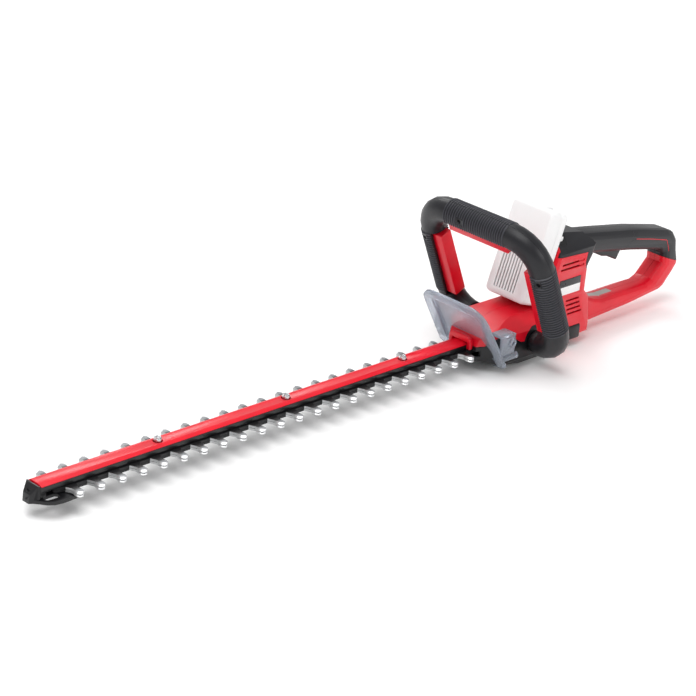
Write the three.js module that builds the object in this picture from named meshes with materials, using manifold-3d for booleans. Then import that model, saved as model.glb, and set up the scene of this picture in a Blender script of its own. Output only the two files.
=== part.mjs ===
// A cordless hedge trimmer, in millimetres, +Z up.
// The blades run along -X, the D-shaped rear handle is towards +X, and the operator's left is -Y.
// The origin is on the flat underside of the gearbox cover, under the middle of the machine.
import * as THREE from "three";
import { mergeVertices } from "three/addons/utils/BufferGeometryUtils.js";
import Module from "manifold-3d";

const wasm = await Module();
wasm.setup();

// ---------------------------------------------------------------- driving dimensions

const GAP = 0.3; // between pieces that touch
const RUN = 0.6; // between pieces that slide or turn on each other

// Cutting gear
const TOOTH_PITCH = 25;
const TEETH = 22; // on each side of the blade
const FIRST_TOOTH_X = -620; // right row, nearest the tip
const ROW_STAGGER = 7.2; // the left row stands this much nearer the tip
const TOOTH_REACH = 28.7; // tooth end from the centre line
const TOOTH_ROOT = 12.4;
const TOOTH_WAIST = 6.4;
const TOOTH_END = 8;
const STRIP_HALF = 12; // half width of the blade's solid strip
const BLADE_THICK = 2.4;
const BLADE_Z = 22; // where the two blades meet
const STROKE_HALF = 7; // each blade's travel to either side of mid stroke

// Blade rail and its cap
const RAIL_HALF = 10;
const RAIL_HEIGHT = 5.5;
const CAP_HEIGHT = 2.4;
const CAP_LIP = 0.4;
const CAP_END_X = -84;
const CAP_FLAT_HALF = 6;
const RAIL_TIP_X = -653.3;
const RAIL_END_X = -52.3;
const BOLT_SPACING = 166.4;
const BOLT_SHANK = 5;
const BOLT_HEAD = 8;
const BOLT_HEAD_HEIGHT = 5.6;
const NUT_WIDTH = 9;
const NUT_HEIGHT = 4;

// Housing
const WALL = 2.6;
const BODY_HALF = 40.5; // gear housing, half width
const BLOCK_HALF = 32; // motor housing, half width
const HANDLE_HALF = 15.5; // rear handle, half width
const BODY_TOP = 56;

// Loop handle
const LOOP_TILT = Math.atan(0.458); // leans forwards from the vertical
const LOOP_FOOT_X = -10.8;
const LOOP_FOOT_Z = 27.7;
const LOOP_LEG = 77; // centre of each leg from the centre line
const LOOP_RISE = 148.5; // centre of the top bar above the feet, along the loop
const LOOP_RADIUS = 14.2;
const LOOP_WALL = 2.6;
const LOOP_CORNER = 32;
const LOOP_FOOT_BEND = 28;
const PADDLE_TRAVEL = 3;
const PADDLE_FRONT = 9.2; // paddle width on the front side of the loop's middle plane
const PADDLE_BACK = 6;

// Guard
const GUARD_TILT = Math.atan(0.62);
const GUARD_X = -63.5;
const GUARD_Z = 17;
const GUARD_HALF = 46;
const GUARD_TOP = 81;
const GUARD_BOTTOM = -10;
const GUARD_WALL = 2.4;
const GUARD_STEP = 3;

// Battery
const PACK_LEAN = THREE.MathUtils.degToRad(18);
const PACK_FOOT_X = 7.4; // where the pack's back face meets its bottom face
const PACK_FOOT_Z = 57.5;
const PACK_THICK = 32;
const PACK_HALF = 28.5;
const PACK_LENGTH = 106;
const PACK_WALL = 2.2;
const RAIL_NECK_HALF = 16;
const RAIL_HEAD_HALF = 21;
const RAIL_NECK = 4;
const RAIL_HEAD = 7;
const CELL_RADIUS = 9.2;

// Drive
const CRANK_X = -18;
const CRANK_DISC = 11.5;
const AXLE_RADIUS = 3;
const GEAR_RADIUS = 31;
const GEAR_THICK = 7;
const GEAR_Z = 31;
const CROWN_TEETH = 56;
const PINION_TEETH = 8;
const PINION_RADIUS = 4.5;
const MOTOR_RADIUS = 17;
const MOTOR_LENGTH = 50;
const MOTOR_X = 21;

// ---------------------------------------------------------------- finishes

const finish = (color, roughness, metalness, extra = {}) =>
  new THREE.MeshStandardMaterial({ color, roughness, metalness, ...extra });

const RED = finish(0xe3122a, 0.38, 0);
const BLACK = finish(0x26262b, 0.6, 0);
const SOFT_BLACK = finish(0x34343c, 0.75, 0);
const SMOKE = finish(0x9aa6b8, 0.2, 0, { transparent: true, opacity: 0.5 });
const STEEL = finish(0xb9bcc0, 0.3, 1);
const DARK_STEEL = finish(0x6c6f73, 0.4, 1);
const ALUMINIUM = finish(0xb4b7ba, 0.5, 1);
const WHITE = finish(0xf0f0ee, 0.45, 0);
const BOARD = finish(0x1d6b3c, 0.5, 0);
const BRASS = finish(0xc8a45a, 0.35, 1);

// ---------------------------------------------------------------- solids

// A closed three.js geometry as a manifold solid.
function solid(geometry, matrix) {
  const bare = geometry.index ? geometry.toNonIndexed() : geometry.clone();
  for (const name of Object.keys(bare.attributes)) {
    if (name !== "position") bare.deleteAttribute(name);
  }
  if (matrix) bare.applyMatrix4(matrix);
  const merged = mergeVertices(bare, 1e-4);
  return new wasm.Manifold(
    new wasm.Mesh({
      numProp: 3,
      vertProperties: new Float32Array(merged.attributes.position.array),
      triVerts: new Uint32Array(merged.index.array),
    }),
  );
}

const union = (...solids) => solids.reduce((a, b) => a.add(b));
const cut = (body, ...tools) => tools.reduce((a, b) => a.subtract(b), body);

function box(x0, x1, y0, y1, z0, z1) {
  const size = new THREE.BoxGeometry(x1 - x0, y1 - y0, z1 - z0);
  return solid(size.translate((x0 + x1) / 2, (y0 + y1) / 2, (z0 + z1) / 2));
}

// A cylinder between two points.
function rod(from, to, radius, segments = 20) {
  const a = new THREE.Vector3(...from);
  const b = new THREE.Vector3(...to);
  const length = a.distanceTo(b);
  const turn = new THREE.Quaternion().setFromUnitVectors(
    new THREE.Vector3(0, 1, 0),
    b.clone().sub(a).normalize(),
  );
  const place = new THREE.Matrix4().compose(a.add(b).multiplyScalar(0.5), turn, new THREE.Vector3(1, 1, 1));
  return solid(new THREE.CylinderGeometry(radius, radius, length, segments), place);
}

const shapeOf = (points) => new THREE.Shape(points.map(([x, y]) => new THREE.Vector2(x, y)));

// Extrudes an outline (and holes) from -half to +half, its edges rounded by `round`.
function slab(outline, half, round = 0, segments = 2, holes = []) {
  const shape = shapeOf(outline);
  shape.holes = holes.map((hole) => new THREE.Path(shapeOf(hole).getPoints()));
  const geometry = new THREE.ExtrudeGeometry(shape, {
    depth: 2 * (half - round),
    bevelEnabled: round > 0,
    bevelThickness: round,
    bevelSize: round,
    bevelOffset: -round,
    bevelSegments: segments,
    curveSegments: 6,
  });
  return geometry.translate(0, 0, -(half - round));
}

// The three ways an outline is stood up in the machine's frame.
const SIDE = new THREE.Matrix4().makeRotationX(Math.PI / 2); // outline (x, z), depth along y
const FRONT = new THREE.Matrix4().makeBasis(
  new THREE.Vector3(0, 1, 0),
  new THREE.Vector3(0, 0, 1),
  new THREE.Vector3(1, 0, 0),
); // outline (y, z), depth along x
const side = (outline, half, round, segments, holes) =>
  solid(slab(outline, half, round, segments, holes), SIDE);
const sideFrom = (outline, y0, y1) =>
  solid(slab(outline, (y1 - y0) / 2), SIDE.clone().setPosition(0, (y0 + y1) / 2, 0));
const plan = (outline, z0, z1, holes = []) =>
  solid(slab(outline, (z1 - z0) / 2, 0, 1, holes).translate(0, 0, (z0 + z1) / 2));
const across = (outline, x0, x1) =>
  solid(slab(outline, (x1 - x0) / 2).translate(0, 0, (x0 + x1) / 2), FRONT);

// Mirrors half an outline, given from one end of the axis of symmetry to the other, in its second coordinate.
const mirrored = (half) => [
  ...half,
  ...half
    .filter(([, y]) => Math.abs(y) > 1e-6)
    .map(([x, y]) => [x, -y])
    .reverse(),
];

// Points along an arc, angles in degrees.
function arc(cx, cy, radius, from, to, steps) {
  const points = [];
  for (let i = 0; i <= steps; i++) {
    const a = THREE.MathUtils.degToRad(from + ((to - from) * i) / steps);
    points.push([cx + radius * Math.cos(a), cy + radius * Math.sin(a)]);
  }
  return points;
}

// A rectangle with rounded corners, anticlockwise.
const roundedBox = (x0, x1, y0, y1, r, steps = 4) => [
  ...arc(x1 - r, y0 + r, r, -90, 0, steps),
  ...arc(x1 - r, y1 - r, r, 0, 90, steps),
  ...arc(x0 + r, y1 - r, r, 90, 180, steps),
  ...arc(x0 + r, y0 + r, r, 180, 270, steps),
];

// Moves each side of an anticlockwise outline inwards by `inset`.
function inset(outline, distance) {
  const n = outline.length;
  const normal = (a, b) => {
    const length = Math.hypot(b[0] - a[0], b[1] - a[1]);
    return [-(b[1] - a[1]) / length, (b[0] - a[0]) / length];
  };
  return outline.map((p, i) => {
    const before = normal(outline[(i + n - 1) % n], p);
    const after = normal(p, outline[(i + 1) % n]);
    const k = distance / Math.max(0.35, 1 + before[0] * after[0] + before[1] * after[1]);
    return [p[0] + k * (before[0] + after[0]), p[1] + k * (before[1] + after[1])];
  });
}

const HALF_SPACE = 1000;
const rightHalf = () => box(-HALF_SPACE, HALF_SPACE, -HALF_SPACE, -GAP / 2, -HALF_SPACE, HALF_SPACE);
const leftHalf = () => box(-HALF_SPACE, HALF_SPACE, GAP / 2, HALF_SPACE, -HALF_SPACE, HALF_SPACE);

// ---------------------------------------------------------------- the assembly

const machine = new THREE.Group();

function part(name, body, material) {
  const made = body.getMesh();
  const geometry = new THREE.BufferGeometry();
  const positions = new Float32Array(made.numVert * 3);
  for (let i = 0; i < made.numVert; i++) {
    positions.set(made.vertProperties.subarray(i * made.numProp, i * made.numProp + 3), i * 3);
  }
  geometry.setAttribute("position", new THREE.BufferAttribute(positions, 3));
  geometry.setIndex(new THREE.BufferAttribute(new Uint32Array(made.triVerts), 1));
  geometry.computeVertexNormals();
  const mesh = new THREE.Mesh(geometry, material);
  mesh.name = name;
  machine.add(mesh);
}

// ---------------------------------------------------------------- battery frame

// Pack coordinates: x from the housing's leaning front face (negative towards the tip), z up along the pack.
const PACK = new THREE.Matrix4()
  .makeTranslation(PACK_FOOT_X, 0, PACK_FOOT_Z)
  .multiply(new THREE.Matrix4().makeRotationY(PACK_LEAN));
const inPack = (geometry) => solid(geometry, PACK);

function packBox(x0, x1, y0, y1, z0, z1) {
  const size = new THREE.BoxGeometry(x1 - x0, y1 - y0, z1 - z0);
  return inPack(size.translate((x0 + x1) / 2, (y0 + y1) / 2, (z0 + z1) / 2));
}

const RAIL_DEPTH = RAIL_NECK + RAIL_HEAD + RUN + 3;
const RAIL_HALF_WIDTH = RAIL_HEAD_HALF + 4;
const RAIL_BOTTOM = 11;
const RAIL_UPPER_END = 82;

// ---------------------------------------------------------------- gear housing form

const PACK_SIN = Math.sin(PACK_LEAN);
const PACK_COS = Math.cos(PACK_LEAN);
const packPoint = (x, z) => [PACK_FOOT_X + x * PACK_COS + z * PACK_SIN, PACK_FOOT_Z - x * PACK_SIN + z * PACK_COS];

// Gear housing seen from the side, from above and from the front.
const bodySide = () => [
  [-82, 14],
  [-62, 9.5],
  [-36, 5],
  [-22, 0],
  [20, 0],
  [30, 8],
  [50, 8],
  [50, BODY_TOP],
  [-34, BODY_TOP],
  [-52, BODY_TOP - 3],
  [-70, 47],
  [-79, 38],
  [-82, 30],
];
const bodyPlan = () =>
  mirrored([
    [-84, -19],
    [-76, -22],
    [-64, -34],
    [-50, -BODY_HALF],
    [24, -BODY_HALF],
    [40, -BLOCK_HALF],
    [50, -BLOCK_HALF],
  ]);
const bodySection = () => {
  const half = [
    [0, 30],
    [12, BODY_HALF - 0.5],
    [42, BODY_HALF - 1],
    [47, BODY_HALF - 4.5],
    [BODY_TOP + 2, 19],
  ];
  return mirrored(half).map(([z, y]) => [y, z]);
};

// The gear housing's form, moved inwards by `d`: its side, plan and cross-section outlines meet.
function bodyForm(d) {
  return side(inset(bodySide(), d), BODY_HALF - d)
    .intersect(plan(inset(bodyPlan(), d), -1, 90))
    .intersect(across(inset(bodySection(), d), -120, 60));
}

// ---------------------------------------------------------------- cutting gear

const BOLT_X = [-1, 0, 1].map((i) => -341 + i * BOLT_SPACING);
const WINDOW_HALF_X = STROKE_HALF + CRANK_DISC + STROKE_HALF + RUN;
const WINDOW_HALF_Y = STROKE_HALF + CRANK_DISC + RUN;
const TAIL_RIM = 5;

// One tooth's outline on the right side, from the tip side to the tail side.
function toothOutline(x) {
  const bulbY = -(TOOTH_REACH - TOOTH_END / 2);
  return [
    [x - TOOTH_ROOT / 2, -STRIP_HALF],
    [x - TOOTH_WAIST / 2, -STRIP_HALF - 6],
    ...arc(x, bulbY, TOOTH_END / 2, 170, 370, 5),
    [x + TOOTH_WAIST / 2, -STRIP_HALF - 6],
    [x + TOOTH_ROOT / 2, -STRIP_HALF],
  ];
}

function bladeOutline() {
  const right = [];
  const left = [];
  for (let k = 0; k < TEETH; k++) {
    const x = FIRST_TOOTH_X + k * TOOTH_PITCH;
    right.push(...toothOutline(x));
    left.push(...toothOutline(x - ROW_STAGGER).map(([px, py]) => [px, -py]));
  }
  const tipX = FIRST_TOOTH_X - ROW_STAGGER - TOOTH_ROOT / 2 - 2;
  const tailHalf = WINDOW_HALF_Y + TAIL_RIM;
  const tailFrontX = CRANK_X - WINDOW_HALF_X - TAIL_RIM;
  const tailBackX = CRANK_X + WINDOW_HALF_X + TAIL_RIM;
  const tail = mirrored([
    [tailFrontX - 8, -STRIP_HALF],
    [tailFrontX, -tailHalf],
    [tailBackX, -tailHalf],
  ]);
  return [[tipX, -STRIP_HALF + 5], ...right, ...tail, ...left.reverse(), [tipX, STRIP_HALF - 5]];
}

function blade(z0) {
  const slotHalf = STROKE_HALF + BOLT_SHANK / 2 + RUN;
  const slotWidth = BOLT_SHANK / 2 + RUN;
  const slots = BOLT_X.map((x) => roundedBox(x - slotHalf, x + slotHalf, -slotWidth, slotWidth, 2.5, 2));
  const crank = roundedBox(
    CRANK_X - WINDOW_HALF_X,
    CRANK_X + WINDOW_HALF_X,
    -WINDOW_HALF_Y,
    WINDOW_HALF_Y,
    2,
    1,
  );
  return plan(bladeOutline(), z0, z0 + BLADE_THICK, [...slots, crank]);
}

const LOWER_BLADE_Z = BLADE_Z - GAP / 2 - BLADE_THICK;
const UPPER_BLADE_Z = BLADE_Z + GAP / 2;
part("blade_lower", blade(LOWER_BLADE_Z), STEEL);
part("blade_upper", blade(UPPER_BLADE_Z), STEEL);

const RAIL_Z = UPPER_BLADE_Z + BLADE_THICK + GAP;
const RAIL_TOP = RAIL_Z + RAIL_HEIGHT;

function boltHoles(radius) {
  return BOLT_X.map((x) => rod([x, 0, 0], [x, 0, 60], radius, 16));
}

function bladeRail() {
  const bar = box(RAIL_TIP_X, RAIL_END_X, -RAIL_HALF, RAIL_HALF, RAIL_Z, RAIL_TOP);
  const tipScrew = rod([TIP_SCREW_X, 0, 0], [TIP_SCREW_X, 0, RAIL_TOP - 2], TIP_SCREW / 2 + GAP, 12);
  return cut(bar, ...boltHoles(BOLT_SHANK / 2 + GAP), tipScrew);
}

function railCap() {
  const z = RAIL_TOP + GAP;
  const section = [
    [-RAIL_HALF, z],
    [RAIL_HALF, z],
    [RAIL_HALF, z + CAP_LIP],
    [CAP_FLAT_HALF, z + CAP_HEIGHT],
    [-CAP_FLAT_HALF, z + CAP_HEIGHT],
    [-RAIL_HALF, z + CAP_LIP],
  ];
  const strip = across(section, RAIL_TIP_X + 1, CAP_END_X);
  return cut(strip, ...boltHoles(BOLT_HEAD / 2 + 1));
}

function railBolt(x) {
  const seat = RAIL_TOP + GAP;
  const head = rod([x, 0, seat], [x, 0, seat + BOLT_HEAD_HEIGHT], BOLT_HEAD / 2, 16);
  const shank = rod([x, 0, LOWER_BLADE_Z - GAP - NUT_HEIGHT - 1], [x, 0, seat + 1], BOLT_SHANK / 2, 12);
  return union(head, shank);
}

function railNut(x) {
  const top = LOWER_BLADE_Z - GAP;
  const nut = rod([x, 0, top - NUT_HEIGHT], [x, 0, top], NUT_WIDTH / 2 / Math.cos(Math.PI / 6), 6);
  return nut.subtract(rod([x, 0, 0], [x, 0, 60], BOLT_SHANK / 2 + GAP, 12));
}

// Tip protector: a plate under the blades, a nose in front of the rail, and a spacer between them.
const TIP_SCREW_X = RAIL_TIP_X + 4;
const TIP_SCREW = 3.5;
const TIP_HEAD = 3.2;
const TIP_SINK = 2.4;
const PROTECTOR_TOP = LOWER_BLADE_Z - 1;
const PROTECTOR_THICK = 3.4;

function tipProtector() {
  const nose = RAIL_TIP_X - GAP;
  const outline = mirrored([
    [nose - 9, 0],
    [nose - 8, -4],
    [nose - 3, -9],
    [nose + 3, -16.5],
    [nose + 9, -20.5],
    [nose + 18, -22],
    [nose + 37, -21],
    [nose + 43, -13],
  ]);
  const bottom = PROTECTOR_TOP - PROTECTOR_THICK;
  const slot = roundedBox(nose + 4, nose + 21, -14.6, -6.6, 3.8, 3);
  const holes = [slot, slot.map(([x, y]) => [x, -y]).reverse()];
  const plate = plan(outline, bottom, PROTECTOR_TOP, holes);
  const wall = sideFrom(
    [
      [nose, bottom],
      [nose, RAIL_TOP + 1.6],
      [nose - 1.5, RAIL_TOP + 1.6],
      [nose - 8, RAIL_Z - 1],
      [nose - 9, bottom],
    ].reverse(),
    -RAIL_HALF,
    RAIL_HALF,
  ).intersect(plan(mirrored([[nose - 9, -4.5], [nose, -RAIL_HALF]]), 0, 60));
  const spacer = box(nose - 1, nose + 9, -7, 7, bottom, RAIL_Z - GAP);
  const eye = rod([nose - 20, 0, RAIL_Z + 2], [nose - 5, 0, RAIL_Z + 2], 2, 12);
  const screw = rod([TIP_SCREW_X, 0, 0], [TIP_SCREW_X, 0, 60], TIP_SCREW / 2 + GAP, 12);
  const sink = rod([TIP_SCREW_X, 0, 0], [TIP_SCREW_X, 0, bottom + TIP_SINK], TIP_HEAD + GAP, 12);
  return cut(union(plate, wall, spacer), eye, screw, sink);
}

function tipScrew() {
  const under = PROTECTOR_TOP - PROTECTOR_THICK + TIP_SINK - GAP;
  const head = rod([TIP_SCREW_X, 0, under - 1.6], [TIP_SCREW_X, 0, under], TIP_HEAD, 12);
  return head.add(rod([TIP_SCREW_X, 0, under - 1], [TIP_SCREW_X, 0, RAIL_TOP - 3], TIP_SCREW / 2, 12));
}

part("blade_rail", bladeRail(), BLACK);
part("rail_cap", railCap(), RED);
BOLT_X.forEach((x, i) => {
  part(`rail_bolt_${i + 1}`, railBolt(x), STEEL);
  part(`rail_nut_${i + 1}`, railNut(x), DARK_STEEL);
});
part("tip_protector", tipProtector(), BLACK);
part("tip_screw", tipScrew(), STEEL);

// ---------------------------------------------------------------- drive

const GEAR_TOP = GEAR_Z + GEAR_THICK;
const MOTOR_Z = GEAR_TOP + 1.4 + PINION_RADIUS + GAP;

// A crown wheel with radial teeth on top, a hub, and two crank discs half a turn apart.
function driveGear() {
  const hubRadius = CRANK_DISC + 1;
  const discGap = GAP;
  const hubBottom = RAIL_Z - GAP;
  const parts = [
    rod([CRANK_X, 0, GEAR_Z], [CRANK_X, 0, GEAR_TOP], GEAR_RADIUS, 48),
    rod([CRANK_X, 0, hubBottom], [CRANK_X, 0, GEAR_Z + 1], hubRadius, 24),
    rod([CRANK_X, STROKE_HALF, UPPER_BLADE_Z + 0.2], [CRANK_X, STROKE_HALF, hubBottom + 1], CRANK_DISC, 24),
    rod(
      [CRANK_X, -STROKE_HALF, LOWER_BLADE_Z + 0.2],
      [CRANK_X, -STROKE_HALF, UPPER_BLADE_Z + discGap],
      CRANK_DISC,
      24,
    ),
  ];
  for (let i = 0; i < CROWN_TEETH; i++) {
    const tooth = new THREE.BoxGeometry(6, 1.2, 1.6);
    const place = new THREE.Matrix4()
      .makeTranslation(CRANK_X, 0, GEAR_TOP + 0.6)
      .multiply(new THREE.Matrix4().makeRotationZ(((i + 0.5) * 2 * Math.PI) / CROWN_TEETH))
      .multiply(new THREE.Matrix4().makeTranslation(GEAR_RADIUS - 4, 0, 0));
    parts.push(solid(tooth, place));
  }
  const bore = rod([CRANK_X, 0, 0], [CRANK_X, 0, 60], AXLE_RADIUS + GAP, 16);
  return cut(union(...parts), bore);
}

const BEARING_RADIUS = 8;
const LOWER_BEARING_Z = 4;
const UPPER_BEARING_Z = 40.4;
const BEARING_HEIGHT = 5;

function bearing(z) {
  const ring = rod([CRANK_X, 0, z], [CRANK_X, 0, z + BEARING_HEIGHT], BEARING_RADIUS, 24);
  return ring.subtract(rod([CRANK_X, 0, z - 1], [CRANK_X, 0, z + 10], AXLE_RADIUS + GAP, 16));
}

const FRAME_CLEAR = 2.9; // from the frame to the shell beside it
const FRAME_HALF = BODY_HALF - WALL - FRAME_CLEAR;

// Cast frame: a floor plate under the crown wheel and a bridge over it that holds the upper bearing.
function gearFrame() {
  const floorZ = RAIL_Z + 1.4;
  const bridgeTop = UPPER_BEARING_Z + BEARING_HEIGHT;
  const floor = box(-52, 16, -FRAME_HALF, FRAME_HALF, floorZ, floorZ + 2.4);
  const posts = [-1, 1].map((s) =>
    box(CRANK_X - 7, CRANK_X + 7, s > 0 ? FRAME_HALF - 3 : -FRAME_HALF, s > 0 ? FRAME_HALF : 3 - FRAME_HALF,
      floorZ, bridgeTop));
  const bridge = box(CRANK_X - 7, CRANK_X + 7, -FRAME_HALF, FRAME_HALF, UPPER_BEARING_Z + 1, bridgeTop);
  const eye = rod([CRANK_X, 0, UPPER_BEARING_Z + 1], [CRANK_X, 0, bridgeTop], BEARING_RADIUS + 3.5, 24);
  const seat = rod([CRANK_X, 0, UPPER_BEARING_Z - 2], [CRANK_X, 0, bridgeTop + 2], BEARING_RADIUS + GAP, 24);
  const hubHole = rod([CRANK_X, 0, 0], [CRANK_X, 0, floorZ + 8], CRANK_DISC + 1 + RUN, 24);
  return cut(union(floor, ...posts, bridge, eye).intersect(bodyForm(WALL + 0.5)), seat, hubHole);
}

function pinion() {
  const x0 = CRANK_X + GEAR_RADIUS - 7;
  const x1 = CRANK_X + GEAR_RADIUS;
  const points = [];
  for (let i = 0; i < PINION_TEETH; i++) {
    const step = (2 * Math.PI) / PINION_TEETH;
    [
      [PINION_RADIUS - 1.6, -0.36],
      [PINION_RADIUS, -0.14],
      [PINION_RADIUS, 0.14],
      [PINION_RADIUS - 1.6, 0.36],
    ].forEach(([r, a]) => {
      const angle = i * step + a * step;
      points.push([r * Math.cos(angle), MOTOR_Z + r * Math.sin(angle)]);
    });
  }
  const gear = across(points, x0, x1);
  const shaft = rod([x0 + 1, 0, MOTOR_Z], [MOTOR_X + MOTOR_LENGTH - 4, 0, MOTOR_Z], 1.6, 12);
  return gear.add(shaft);
}

function motorCan() {
  const can = rod([MOTOR_X, 0, MOTOR_Z], [MOTOR_X + MOTOR_LENGTH - 8, 0, MOTOR_Z], MOTOR_RADIUS, 32);
  const bore = rod([MOTOR_X - 1, 0, MOTOR_Z], [MOTOR_X + MOTOR_LENGTH, 0, MOTOR_Z], 1.6 + RUN, 12);
  const inside = rod([MOTOR_X + 2, 0, MOTOR_Z], [MOTOR_X + MOTOR_LENGTH, 0, MOTOR_Z], MOTOR_RADIUS - 1.6, 32);
  return cut(can, bore, inside);
}

// The rotor's iron core turns with the shaft.
function rotorCore() {
  const inner = MOTOR_RADIUS - 5;
  return rod([MOTOR_X + 6, 0, MOTOR_Z], [MOTOR_X + MOTOR_LENGTH - 14, 0, MOTOR_Z], inner, 24);
}

function motorEndCap() {
  const x0 = MOTOR_X + MOTOR_LENGTH - 8 + GAP;
  const cap = rod([x0, 0, MOTOR_Z], [MOTOR_X + MOTOR_LENGTH, 0, MOTOR_Z], MOTOR_RADIUS, 32);
  const bore = rod([x0 - 2, 0, MOTOR_Z], [MOTOR_X + MOTOR_LENGTH - 3, 0, MOTOR_Z], 1.6 + RUN, 12);
  return cap.subtract(bore);
}

part("drive_gear", driveGear(), DARK_STEEL);
part("gear_axle", rod([CRANK_X, 0, 3], [CRANK_X, 0, UPPER_BEARING_Z + BEARING_HEIGHT + 1], AXLE_RADIUS, 16), STEEL);
part("bearing_lower", bearing(LOWER_BEARING_Z), BRASS);
part("bearing_upper", bearing(UPPER_BEARING_Z), BRASS);
part("gear_frame", gearFrame(), ALUMINIUM);
part("motor_can", motorCan(), DARK_STEEL);
part("motor_rotor", pinion().add(rotorCore()), STEEL);
part("motor_end_cap", motorEndCap(), BLACK);

// ---------------------------------------------------------------- housings

const BLOCK_FRONT_TOP = 78; // top of the leaning front face, along the pack
const blockSide = () => [
  [20, 8],
  [62, 9.5],
  [93, 11],
  [93, 22],
  [87, 56],
  [79, 64],
  [79, 92],
  [86, 104],
  [90, 117],
  [76, 129],
  [44, 133.5],
  packPoint(0, BLOCK_FRONT_TOP),
  packPoint(0, 0),
  [8, 40],
];
const blockSection = () => {
  const half = [
    [0, BLOCK_HALF],
    [115, BLOCK_HALF],
    [129, 19],
    [150, 4],
  ];
  return mirrored(half).map(([z, y]) => [y, z]);
};

const ringSide = () => [
  [60, 8],
  [115, 10],
  [188, 14],
  [241, 19.5],
  [248, 23],
  [263, 39],
  [269.5, 47.5],
  [269.5, 53],
  [265, 67],
  [262.5, 80],
  [255, 89.5],
  [243, 94.5],
  [215, 100.5],
  [185, 106.8],
  [156, 111.5],
  [120, 117.5],
  [90, 122],
  [60, 122],
];
const ringHole = () => [
  [97, 56],
  [104, 44],
  [122, 37],
  [138, 33.5],
  [183, 33.5],
  [214, 33],
  [225, 37],
  [242, 53],
  [241, 65],
  [235, 70.5],
  [178, 82],
  [124, 91],
  [101, 95],
  [97, 90],
];

const EDGE = { block: 5, ring: 8 };

function outerBody() {
  const body = bodyForm(0);
  const block = side(blockSide(), BLOCK_HALF, EDGE.block, 2).intersect(across(blockSection(), -20, 120));
  const ring = side(ringSide(), HANDLE_HALF, EDGE.ring, 3, [ringHole()]);
  return union(body, block, ring);
}

// The hollow inside the shells: the same three forms, one wall smaller.
function innerBody() {
  const body = bodyForm(WALL);
  const block = side(inset(blockSide(), WALL), BLOCK_HALF - WALL, EDGE.block - 2, 1)
    .intersect(across(inset(blockSection(), WALL), -20, 120));
  const hole = inset([...ringHole()].reverse(), WALL).reverse();
  const ring = side(inset(ringSide(), WALL), HANDLE_HALF - WALL, EDGE.ring - 3, 1, [hole]);
  return union(body, block, ring);
}

// The soft grip covers the top of the motor housing and the handle's upper bar. The housing's front wall,
// behind the pack, and a patch at its upper corner stay red.
function gripZone(grow) {
  const cover = side(
    [
      [10, 113 - grow],
      [75 - grow, 109.5 - grow],
      [73 - grow, 98],
      [75 - grow, 90 - grow],
      [100, 84 - grow],
      [118, 78 - grow],
      [205, 72 - grow],
      [236, 63 - grow],
      [290, 43 - grow],
      [290, 170],
      [10, 170],
    ],
    60,
  );
  const patch = side(
    inset(
      [
        [0, 122],
        [23.5, 122],
        [37, 126.6],
        [37.5, 130.6],
        [28, 138],
        [28, 160],
        [0, 160],
      ],
      grow,
    ),
    60,
  );
  const wall = packBox(-10, 2.8 - grow, -29.4 + grow, 29.4 - grow, -10, 130);
  return cut(cover, patch, wall);
}

// The gearbox cover is the lower part of the gear housing, and rises round each loop foot.
const BOSS_RADIUS = 12.3;
const coverZone = (grow) =>
  side(
    [
      [-100, -5],
      [24 + grow, -5],
      [24 + grow, 12],
      ...arc(LOOP_FOOT_X, LOOP_FOOT_Z + 2, BOSS_RADIUS + 3 + grow, 0, 165, 8),
      [LOOP_FOOT_X - BOSS_RADIUS - 3 - grow, LOOP_FOOT_Z + 2.7 + grow],
      [-33, 31.5 + grow],
      [-44, 38.3 + grow],
      [-56, 42 + grow],
      [-64, 41 + grow],
      [-74, 30 + grow],
      [-100, 30 + grow],
    ],
    60,
  );

// What has to pass through the shells: rail and blades, battery rail, trigger, rear foot and loop feet.
const TRIGGER_HALF = 6;
const triggerSide = (grow) =>
  inset(
    [
      [108, 96],
      [117, 91],
      [134.6, 82.6],
      [144, 80.5],
      [161.5, 72.5],
      [167.5, 83],
      [168, 92],
      [160, 98],
      [112, 103],
      [106, 100],
    ],
    -grow,
  );

function bladeExit() {
  const tailHalf = WINDOW_HALF_Y + TAIL_RIM + RUN;
  const tailFront = CRANK_X - WINDOW_HALF_X - TAIL_RIM - STROKE_HALF - RUN;
  const low = LOWER_BLADE_Z - RUN;
  const rail = box(-120, RAIL_END_X + GAP, -RAIL_HALF - GAP, RAIL_HALF + GAP, low, RAIL_TOP + GAP + CAP_HEIGHT + GAP);
  const strip = box(-120, -50, -STRIP_HALF - RUN, STRIP_HALF + RUN, low, RAIL_Z);
  const tooth = box(-120, -76, -TOOTH_REACH - RUN, TOOTH_REACH + RUN, low, RAIL_Z);
  const tail = box(tailFront - 8, 30, -tailHalf, tailHalf, low, RAIL_Z);
  return union(rail, strip, tooth, tail);
}

const FOOT = { x0: 56, x1: 75, z0: 7.5, z1: 25, half: BLOCK_HALF + 1.6 };
function rearFoot(grow) {
  const outline = roundedBox(FOOT.z0 - grow, FOOT.z1 + grow, -FOOT.half - grow, FOOT.half + grow, 3, 2);
  const outer = across(outline.map(([z, y]) => [y, z]).reverse(), FOOT.x0 - grow, FOOT.x1 + grow);
  const inner = box(0, 100, -BLOCK_HALF + 2.2 + grow, BLOCK_HALF - 2.2 - grow, FOOT.z0 + 5 + grow, 60);
  return outer.subtract(inner);
}

const LABEL = { x0: 32, x1: 67, z0: 66, z1: 84, depth: 0.8 };
const labelBox = (grow, s) => {
  const outer = BLOCK_HALF + GAP;
  const inner = BLOCK_HALF - LABEL.depth - grow;
  return box(LABEL.x0 - grow, LABEL.x1 + grow, s > 0 ? inner : -outer, s > 0 ? outer : -inner,
    LABEL.z0 - grow, LABEL.z1 + grow);
};

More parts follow.
